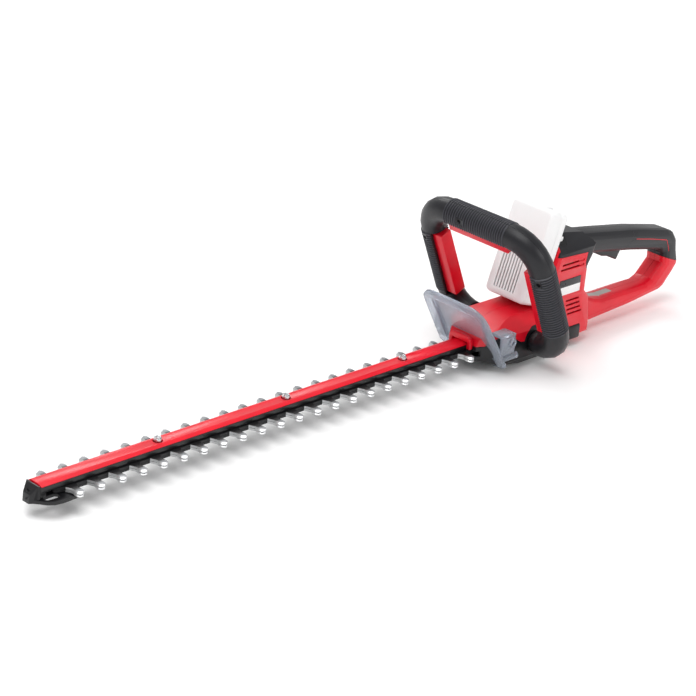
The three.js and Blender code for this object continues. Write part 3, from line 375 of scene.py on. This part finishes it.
# The pack's ABS is white and even; the labels are polyester films.
WHITE_ABS = Finish(
    "ABS moulded white", "white_plastic", "f1f1f1", 0.4, Grain.SATIN, ior=1.53, drift=0.01
)
BOARD = TracedBoard("Epoxy board lacquered", "board", "1d6b3c", 0.35, Grain.POLISHED)
LABEL_FILM = TwoToneFilm(
    "Polyester film blank", "black_plastic", "2a2a2d", 0.3, Grain.POLISHED, level=75.6 * MM
)
SILVER_FILM = Finish("Polyester film silver", "black_plastic", "a9a49f", 0.35, Grain.POLISHED)


# --------------------------------------------------------------- mesh helpers


def copy_of(*names: str) -> bmesh.types.BMesh:
    """A merged copy of some CAD nodes, with their flat faces whole again.

    Args:
        *names: the nodes.

    Returns:
        The copy, in the machine's frame.
    """
    bm = bmesh.new()
    for name in names:
        bm.from_mesh(NODES[name].data)
    bmesh.ops.remove_doubles(bm, verts=bm.verts, dist=MERGE)
    bmesh.ops.dissolve_limit(
        bm, angle_limit=FLAT, verts=bm.verts, edges=bm.edges, delimit={"NORMAL"}
    )
    return bm


def turned_edges(bm: bmesh.types.BMesh, least: float = 30.0) -> list[bmesh.types.BMEdge]:
    """The edges of a mesh that turn outwards.

    Args:
        bm: the mesh.
        least: the angle in degrees that they turn by at least.

    Returns:
        The edges.
    """
    limit = math.radians(least)
    return [e for e in bm.edges if e.is_manifold and e.calc_face_angle_signed(0.0) > limit]


def soften(
    bm: bmesh.types.BMesh, width: float, segments: int = 2, least: float = 30.0
) -> bmesh.types.BMesh:
    """Rounds the outward edges of a mesh.

    Args:
        bm: the mesh.
        width: the bevel's width, in millimetres.
        segments: its steps.
        least: the angle in degrees above which an edge is rounded.

    Returns:
        The same mesh.
    """
    round_edges(bm, turned_edges(bm, least), width, segments)
    return bm


def round_edges(
    bm: bmesh.types.BMesh, edges: Sequence[bmesh.types.BMEdge], width: float, segments: int
) -> None:
    """Bevels some edges of a mesh.

    Args:
        bm: the mesh.
        edges: the edges.
        width: the bevel's width, in millimetres.
        segments: its steps.
    """
    bmesh.ops.bevel(
        bm,
        geom=list(edges),
        offset=width * MM,
        offset_type="OFFSET",
        affect="EDGES",
        segments=segments,
        profile=0.5,
        clamp_overlap=True,
        material=-1,
    )


def shown(
    name: str, bm: bmesh.types.BMesh, finish: Finish, body: str, *nodes: str, sharp: float = SHARP
) -> bpy.types.Object:
    """Makes a piece of the visual model from a mesh.

    Args:
        name: the piece's name.
        bm: its mesh in metres, in the machine's frame; it is freed.
        finish: its finish.
        body: the body that it moves with.
        *nodes: the CAD nodes that it stands for.
        sharp: the angle above which its edges stay crisp.

    Returns:
        The piece.
    """
    mesh = bpy.data.meshes.new(name)
    bm.to_mesh(mesh)
    bm.free()
    mesh.shade_smooth()
    mesh.set_sharp_from_angle(angle=sharp)
    piece = bpy.data.objects.new(name, mesh)
    bpy.context.scene.collection.objects.link(piece)
    mesh.materials.append(finish.build())
    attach(piece, body)
    if nodes:
        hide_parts(*nodes)
    LOG.info("%s: %d faces, on %s", name, len(mesh.polygons), body)
    return piece


def painted(finish: Finish, *names: str) -> None:
    """Gives a finish to CAD nodes whose shape stays as it is.

    Args:
        finish: the finish.
        *names: the nodes.
    """
    for name in names:
        node = NODES[name]
        material = finish.build()
        if not node.material_slots:
            node.data.materials.append(material)
        for place in node.material_slots:
            place.material = material
        LOG.info("%s: kept, %s", name, finish.name)


def top_face(bm: bmesh.types.BMesh, corners: int = 0) -> bmesh.types.BMFace:
    """The highest face of a mesh.

    Args:
        bm: the mesh.
        corners: how many corners it has, or none for any.

    Returns:
        The face.
    """
    faces = [f for f in bm.faces if not corners or len(f.verts) == corners]
    return max(faces, key=lambda f: f.calc_center_median().z)


def screw_head(
    centre: Vector, axis: Vector, radius: float, height: float
) -> bmesh.types.BMesh:
    """A pan head with a six-lobed recess.

    Args:
        centre: the middle of its underside, in millimetres.
        axis: the way it points.
        radius: its radius in millimetres.
        height: its height in millimetres.

    Returns:
        The head, in metres.
    """
    bm = bmesh.new()
    bmesh.ops.create_cone(
        bm,
        cap_ends=True,
        segments=HEAD_STEPS,
        radius1=radius * MM,
        radius2=radius * MM,
        depth=height * MM,
    )
    round_edges(bm, top_face(bm).edges, 0.22 * height, 2)
    bmesh.ops.inset_region(bm, faces=[top_face(bm)], thickness=radius * 0.34 * MM)
    top = top_face(bm, HEAD_STEPS)
    for i, vert in enumerate(top.verts):
        if i % LOBE_STEPS in (0, 1):
            vert.co.x *= LOBE_DEPTH
            vert.co.y *= LOBE_DEPTH
    sunk = bmesh.ops.extrude_discrete_faces(bm, faces=[top])["faces"][0]
    bmesh.ops.translate(bm, verts=sunk.verts, vec=(0, 0, -0.55 * height * MM))
    turn = axis.to_track_quat("Z", "Y").to_matrix().to_4x4()
    place = Matrix.Translation((centre + axis * height / 2) * MM) @ turn
    bmesh.ops.transform(bm, matrix=place, verts=bm.verts)
    return bm


def join(*parts: bmesh.types.BMesh) -> bmesh.types.BMesh:
    """Puts several meshes into one.

    Args:
        *parts: the meshes, which are freed.

    Returns:
        The one mesh.
    """
    whole = bmesh.new()
    for part in parts:
        keep = bpy.data.meshes.new("keep")
        part.to_mesh(keep)
        part.free()
        whole.from_mesh(keep)
        bpy.data.meshes.remove(keep)
    return whole


def surface(*names: str) -> BVHTree:
    """A tree for finding points on the faces of some CAD nodes.

    Args:
        *names: the nodes.

    Returns:
        The tree, in metres.
    """
    return BVHTree.FromBMesh(copy_of(*names))


def ribbon(
    path: Sequence[Sequence[float]], width: float, rise: float, lay: Callable
) -> bmesh.types.BMesh:
    """A thin strip along a path, laid on a surface and crowned along its middle.

    Args:
        path: points of the path in the plane that the strip is seen in, in millimetres.
        width: its width in millimetres.
        rise: how far its middle stands proud, in millimetres.
        lay: turns a point of the plane into one on the surface and its normal, in metres.

    Returns:
        The strip, in metres.
    """
    points = [Vector(p) for p in path]
    lengths = [0.0]
    for a, b in zip(points, points[1:]):
        lengths.append(lengths[-1] + (b - a).length)
    steps = max(4, int(lengths[-1] / RIBBON_STEP))
    bm = bmesh.new()
    bmesh.ops.create_grid(bm, x_segments=steps, y_segments=2, size=0.5)
    for vert in bm.verts:
        want = (vert.co.x + 0.5) * lengths[-1]
        k = max(i for i in range(len(points) - 1) if lengths[i] <= want + 1e-9)
        run = (points[k + 1] - points[k]).normalized()
        spot = points[k] + run * (want - lengths[k]) + Vector((-run.y, run.x)) * vert.co.y * width
        at, normal = lay(spot)
        middle = abs(vert.co.y) < 0.1
        vert.co = at + normal * (rise if middle else -RIBBON_SINK) * MM
    bmesh.ops.recalc_face_normals(bm, faces=bm.faces)
    return bm


# -------------------------------------------------------------- sub-assemblies


@dataclass
class CuttingGear:
    """Blades, the rail that holds them, its red cap and the parts at the tip.

    Sizes are in millimetres, and bolts and rivets are given by their places along X.
    """

    leading_edge: float = 1.9
    trailing_edge: float = 0.8
    root_half: float = 13.0
    bolts: tuple[float, ...] = (-507.4, -341.0, -174.6)
    rail_half: float = 10.0
    rivet_height: float = 27.6
    rivets: tuple[float, ...] = (-620.0, -550.0, -457.0, -395.0, -270.0, -223.0, -110.0)

    def blade(self, name: str, body: str) -> None:
        """One blade: its teeth are ground to a bevel on their upper edges.

        Args:
            name: its node.
            body: the body that it moves with.
        """
        bm = copy_of(name)
        self.grind(bm, True, self.leading_edge)
        self.grind(bm, False, self.trailing_edge)
        # Flat faces take the dark painted reflection of the rail; steep faces on the teeth take
        # the ground steel.
        for face in bm.faces:
            steep = abs(face.normal.z) < 0.95
            on_tooth = abs(face.calc_center_median().y) > self.root_half * MM
            face.material_index = int(steep and on_tooth)
        blade = shown(name + "_ground", bm, TOOTH_STEEL, body, name)
        blade.data.materials.append(GROUND_STEEL.build())

    def grind(self, bm: bmesh.types.BMesh, leading: bool, width: float) -> None:
        """Bevels the upper edges of the teeth on one flank.

        Args:
            bm: the blade.
            leading: whether the flank that faces the tip is ground, or the other.
            width: the bevel's width in millimetres.
        """
        top = max(v.co.z for v in bm.verts) - 0.01 * MM
        ground = []
        for edge in turned_edges(bm, 60):
            if all(v.co.z > top and abs(v.co.y) > self.root_half * MM for v in edge.verts):
                flank = min(edge.link_faces, key=lambda f: f.normal.z)
                if (flank.normal.x < -0.3) == leading:
                    ground.append(edge)
        round_edges(bm, ground, width, 1)

    def build(self) -> None:
        """Builds the whole cutting gear."""
        self.blade("blade_upper", "upper_blade")
        self.blade("blade_lower", "lower_blade")
        for piece, node, width, finish in (
            ("rail_bar", "blade_rail", 0.5, PHOSPHATED_STEEL),
            ("rail_cap_strip", "rail_cap", 0.35, RED_ABS),
            ("tip_shoe", "tip_protector", 0.6, BLACK_NYLON),
            ("nose_ring", "nose_collar", 0.8, RED_ABS),
        ):
            shown(piece, soften(copy_of(node), width), finish, "trimmer", node)
        for i, x in enumerate(self.bolts, 1):
            name = f"rail_bolt_{i}"
            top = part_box(name)[1].z / MM
            head = screw_head(Vector((x, 0, top - 0.1)), Vector((0, 0, 1)), 3.2, 1.0)
            bolt = join(soften(copy_of(name), 0.4), head)
            shown(f"rail_bolt_head_{i}", bolt, ZINC_STEEL, "trimmer", name)
        studs = []
        for x in self.rivets:
            for side in Side:
                out = Vector((0, side.value, 0))
                centre = Vector((x, side.value * (self.rail_half - 0.2), self.rivet_height))
                studs.append(screw_head(centre, out, 1.5, 0.5))
        shown("rail_rivets", join(*studs), PHOSPHATED_STEEL, "trimmer")
        painted(ZINC_STEEL, "rail_nut_1", "rail_nut_2", "rail_nut_3", "tip_screw")


@dataclass
class Drive:
    """Motor, gear and bearings inside the housing."""

    def build(self) -> None:
        """Dresses the inner pieces."""
        painted(GEAR_STEEL, "drive_gear", "motor_rotor", "motor_can")
        painted(ZINC_STEEL, "gear_axle", "trigger_pin", "trigger_spring")
        painted(SINTERED_BRONZE, "bearing_lower", "bearing_upper")
        painted(CAST_ALUMINIUM, "gear_frame")
        painted(BLACK_NYLON, "motor_end_cap", "main_switch", "battery_rail")
        painted(BOARD, "control_board")


@dataclass
class Housing:
    """The two red shells, their soft grip, the gearbox cover and what is fixed to them.

    Sizes are in millimetres. The sticker is given by its two ends along X and its width, and
    the trim and the seams by points (x, z) of the side view.
    """

    sticker: tuple[float, float, float] = (107.0, 163.0, 15.0)
    trim: tuple[tuple[float, float], ...] = ((181.6, 96.5), (210, 90.5), (240, 83.0), (247, 68.0))
    seams: tuple[tuple[tuple[float, float], ...], ...] = (
        ((163.0, 88.0), (172.0, 95.0), (181.6, 96.5)),
        ((176.0, 96.0), (177.0, 104.0), (172.0, 112.0), (164.0, 117.0)),
    )

    def on_side(self, tree: BVHTree, side: Side) -> Callable:
        """Lays points of the side view on the flank of some nodes.

        Args:
            tree: the nodes' faces.
            side: the flank.

        Returns:
            What a ribbon takes to lay itself: from a point to its place and normal.
        """

        def lay(spot: Vector) -> tuple[Vector, Vector]:
            start = Vector((spot.x, side.value * 80, spot.y)) * MM
            at, normal, _, _ = tree.ray_cast(start, Vector((0, -side.value, 0)))
            if at is None:
                near = Vector((spot.x, side.value * 15, spot.y)) * MM
                at, normal, _, _ = tree.find_nearest(near)
            return at, normal

        return lay

    def lines(self) -> None:
        """Red trim and moulded seams on both flanks of the grip."""
        for side in Side:
            word = side.name.lower()
            lay = self.on_side(surface(f"grip_{word}", f"housing_{word}"), side)
            shown(f"trim_line_{word}", ribbon(self.trim, 1.1, 0.25, lay), RED_ABS, "trimmer")
            seams = [ribbon(path, 0.9, 0.12, lay) for path in self.seams]
            shown(f"grip_seams_{word}", join(*seams), BLACK_NYLON, "trimmer")

    def label(self) -> None:
        """A blank silver film on the lower strut."""
        tree = surface("housing_right", "housing_left")
        x0, x1, width = self.sticker

        def lay(spot: Vector) -> tuple[Vector, Vector]:
            y = math.copysign(max(abs(spot.y), 0.4), spot.y)
            at, normal, _, _ = tree.ray_cast(Vector((spot.x, y, 66)) * MM, Vector((0, 0, -1)))
            return at, normal

        film = ribbon(((x0, 0), (x1, 0)), width, 0.15, lay)
        shown("strut_sticker", film, SILVER_FILM, "trimmer")

    def build(self) -> None:
        """Builds both halves and their labels."""
        for word in ("right", "left"):
            shell = soften(copy_of(f"housing_{word}"), 0.7)
            shown(f"shell_{word}", shell, RED_ABS, "trimmer", f"housing_{word}", sharp=FACETED)
            grip = soften(copy_of(f"grip_{word}"), 0.7)
            shown(f"soft_grip_{word}", grip, SOFT_TPE, "trimmer", f"grip_{word}", sharp=FACETED)
            plate = soften(copy_of(f"label_plate_{word}"), 0.25)
            shown(f"blank_label_{word}", plate, LABEL_FILM, "trimmer", f"label_plate_{word}")
        cover = soften(copy_of("gearbox_cover"), 0.7)
        shown("gear_cover", cover, BLACK_NYLON, "trimmer", "gearbox_cover")
        shown("rear_catch", soften(copy_of("rear_foot"), 0.8), BLACK_NYLON, "trimmer", "rear_foot")
        lever = soften(copy_of("trigger"), 1.2, 3)
        shown("trigger_lever", lever, BLACK_NYLON, "trigger_body", "trigger")
        self.label()
        self.lines()
        painted(ZINC_STEEL, *(f"housing_screw_{i}" for i in range(1, 5)))


@dataclass
class LoopHandle:
    """The front loop: two ribbed half tubes, three red switch paddles and their screws.

    Sizes are in millimetres and angles round the tube in degrees from the loop's inside. The
    ribs near a screw leave out the span that its head fills.
    """

    lean: float = math.atan(0.458)
    foot: Vector = field(default_factory=lambda: Vector((-10.8, 0, 27.7)))
    leg: float = 77.0
    rise: float = 148.5
    radius: float = 14.2
    flat_depth: float = 5.6
    rib_pitch: float = 3.2  # about 2 mm on the real grip, drawn coarser to show
    rib_height: float = 1.0
    seam: float = 178.5
    screw_span: tuple[float, float] = (93.0, 126.0)
    screw_place: dict[str, float] = field(
        default_factory=lambda: {"right": 107.0, "left": 107.0, "top": 19.0}
    )
    screw_clear: float = 3.9

    def place(self) -> Matrix:
        """The loop's own frame: x across the machine, y up the loop and z to the rear.

        Returns:
            The matrix from that frame to the machine's, in metres.
        """
        up = Vector((-math.sin(self.lean), 0, math.cos(self.lean)))
        rear = Vector((math.cos(self.lean), 0, math.sin(self.lean)))
        turn = Matrix((Vector((0, 1, 0)), up, rear)).transposed().to_4x4()
        return Matrix.Translation(self.foot * MM) @ turn

    def ribs(self, word: str, start: Vector, end: Vector, inward: Vector) -> None:
        """Fine ribs round the outer part of a straight stretch of the tube.

        Args:
            word: the side of the loop.
            start: where the stretch begins, in the loop's frame, in millimetres.
            end: where it ends.
            inward: the way to the inside of the loop.
        """
        along = (end - start).normalized()
        count = int((end - start).length / self.rib_pitch)
        opening = math.degrees(math.acos(self.flat_depth / self.radius)) + 3
        whole = ((opening, self.seam),)
        split = ((opening, self.screw_span[0]), (self.screw_span[1], self.seam))
        bm = bmesh.new()
        for i in range(count + 1):
            centre = start + along * self.rib_pitch * i
            near = abs(centre.dot(along) - self.screw_place[word]) < self.screw_clear
            for sign in (1, -1):
                front = (along.cross(inward) * sign).z < 0
                for first, last in split if front and near else whole:
                    ray = Matrix.Rotation(sign * math.radians(first), 3, along) @ inward
                    self.rib(bm, centre, ray, along, sign * math.radians(last - first))
        bmesh.ops.transform(bm, matrix=self.place(), verts=bm.verts)
        bmesh.ops.recalc_face_normals(bm, faces=bm.faces)
        # The ribs take the paler colour, a painted highlight against the tube.
        shown(f"loop_ribs_{word}", bm, RIB_TPE_PAINTED_HIGHLIGHT, "trimmer")

    def rib(
        self, bm: bmesh.types.BMesh, centre: Vector, first: Vector, along: Vector, sweep: float
    ) -> None:
        """One rib: a bead with a flat crown, spun round the tube.

        Args:
            bm: the mesh that it is added to.
            centre: the tube's middle there, in millimetres.
            first: the way from the middle to the rib's start.
            along: the way that the tube runs.
            sweep: the angle that it is spun by, in radians.
        """
        half = self.rib_pitch * 0.3
        inner, outer = self.radius - 0.15, self.radius + self.rib_height
        spots = [
            centre + first * inner - along * half,
            centre + first * outer - along * half * 0.35,
            centre + first * outer + along * half * 0.35,
            centre + first * inner + along * half,
        ]
        ring = [bm.verts.new(p * MM) for p in spots]
        face = bm.faces.new(ring)
        bmesh.ops.spin(
            bm,
            geom=[face, *face.edges, *face.verts],
            cent=centre * MM,
            axis=along,
            angle=sweep,
            steps=12,
            use_merge=False,
        )

    def build(self) -> None:
        """Builds the loop."""
        for half in ("front", "rear"):
            tube = soften(copy_of(f"loop_{half}"), 0.5, 2, 50)
            shown(f"loop_tube_{half}", tube, SOFT_TPE, "trimmer", f"loop_{half}")
        for side in Side:
            word = side.name.lower()
            x = side.value * self.leg
            inward = Vector((-side.value, 0, 0))
            self.ribs(word, Vector((x, 34, 0)), Vector((x, 114, 0)), inward)
            node = f"paddle_{word}"
            paddle = soften(copy_of(node), 1.0, 3)
            shown(f"switch_paddle_{word}", paddle, RED_ABS, f"{node}_body", node)
            boss = soften(copy_of(f"loop_boss_{word}"), 1.2, 3)
            shown(f"pivot_boss_{word}", boss, BLACK_NYLON, "trimmer", f"loop_boss_{word}")
        first, last = (Vector((x, self.rise, 0)) for x in (-42, 42))
        self.ribs("top", first, last, Vector((0, -1, 0)))
        paddle = soften(copy_of("paddle_top"), 1.0, 3)
        shown("switch_paddle_top", paddle, RED_ABS, "paddle_top_body", "paddle_top")
        painted(ZINC_STEEL, *(f"paddle_spring_{word}" for word in ("right", "top", "left")))
        painted(BLACK_NYLON, *(f"loop_screw_{word}" for word in ("right", "top", "left")))


@dataclass
class Guard:
    """The smoked hand guard."""

    def build(self) -> None:
        """Builds the guard."""
        shown("hand_guard", soften(copy_of("guard"), 0.5), SMOKED_PC, "trimmer", "guard")


@dataclass
class Battery:
    """The white slide-on pack."""

    def build(self) -> None:
        """Builds the pack and its catch."""
        for half in ("front", "back"):
            shell = soften(copy_of(f"battery_{half}"), 0.8)
            shown(f"pack_shell_{half}", shell, WHITE_ABS, "battery", f"battery_{half}")
        catch = soften(copy_of("battery_button"), 0.6)
        shown("pack_catch", catch, WHITE_ABS, "battery_catch", "battery_button")
        painted(PLATED_CELL, "battery_cells")


@dataclass
class Studio:
    """A pale floor, soft light and the camera."""

    eye: Vector = field(default_factory=lambda: Vector((-1.80600, -1.47163, 0.99837)))
    azimuth: float = math.radians(-46.447)
    elevation: float = math.radians(23.576)
    roll: float = math.radians(4.967)
    lens: float = 119.09
    floor_half: float = 12.0
    floor_gap: float = 0.4 * MM
    ambient: float = 0.55
    aim: Vector = field(default_factory=lambda: Vector((-0.2, 0, 0.05)))

    def floor(self) -> None:
        """A wide pale floor just under the machine."""
        bm = bmesh.new()
        bmesh.ops.create_grid(bm, x_segments=1, y_segments=1, size=self.floor_half)
        bmesh.ops.translate(bm, verts=bm.verts, vec=(0, 0, CAD_BOX[0].z - self.floor_gap))
        mesh = bpy.data.meshes.new("floor")
        bm.to_mesh(mesh)
        bm.free()
        sheet = bpy.data.objects.new("floor", mesh)
        bpy.context.scene.collection.objects.link(sheet)
        paper = Finish("Paper matt white", "", "ffffff", 0.9, Grain.SATIN, drift=0.002)
        mesh.materials.append(paper.build())

    def lamp(self, name: str, at: Sequence[float], size: float, power: float) -> None:
        """A square soft light that faces the machine's middle.

        Args:
            name: its name.
            at: where it stands, in metres.
            size: its side in metres.
            power: its power in watts.
        """
        light = bpy.data.lights.new(name, "AREA")
        light.energy = power
        light.size = size
        lamp = bpy.data.objects.new(name, light)
        lamp.location = at
        away = self.aim - lamp.location
        lamp.rotation_euler = away.to_track_quat("-Z", "Y").to_euler()
        bpy.context.scene.collection.objects.link(lamp)

    def camera(self) -> None:
        """The camera, turned by azimuth, elevation and roll about its line of sight."""
        az, el = self.azimuth, self.elevation
        back = Vector((math.sin(az) * math.cos(el), -math.cos(az) * math.cos(el), math.sin(el)))
        right = Vector((math.cos(az), math.sin(az), 0))
        up = back.cross(right)
        turn = Matrix((right, up, back)).transposed() @ Matrix.Rotation(self.roll, 3, "Z")
        data = bpy.data.cameras.new("camera")
        data.sensor_width = 36
        data.lens = self.lens
        data.clip_end = 100
        eye = bpy.data.objects.new("camera", data)
        eye.matrix_world = Matrix.Translation(self.eye) @ turn.to_4x4()
        bpy.context.scene.collection.objects.link(eye)
        bpy.context.scene.camera = eye

    def build(self) -> None:
        """Sets the stage."""
        self.floor()
        self.lamp("key", (-1.2, 0.0, 2.8), 2.4, 62)
        self.lamp("side", (0.4, -2.9, 1.4), 1.3, 22)
        self.lamp("back", (1.0, 2.4, 2.2), 1.2, 26)
        world = bpy.data.worlds.new("studio")
        world.use_nodes = True
        bpy.context.scene.world = world
        sky = world.node_tree.nodes["Background"]
        sky.inputs["Color"].default_value = (1, 1, 1, 1)
        sky.inputs["Strength"].default_value = self.ambient
        bpy.context.scene.view_settings.view_transform = "Standard"
        self.camera()


def main() -> None:
    """Builds every sub-assembly, then the studio."""
    logging.basicConfig(level=logging.INFO, format="%(message)s")
    for assembly in (CuttingGear, Drive, Housing, LoopHandle, Guard, Battery, Studio):
        LOG.info("== %s", assembly.__name__)
        assembly().build()


if __name__ == "__main__":
    main()
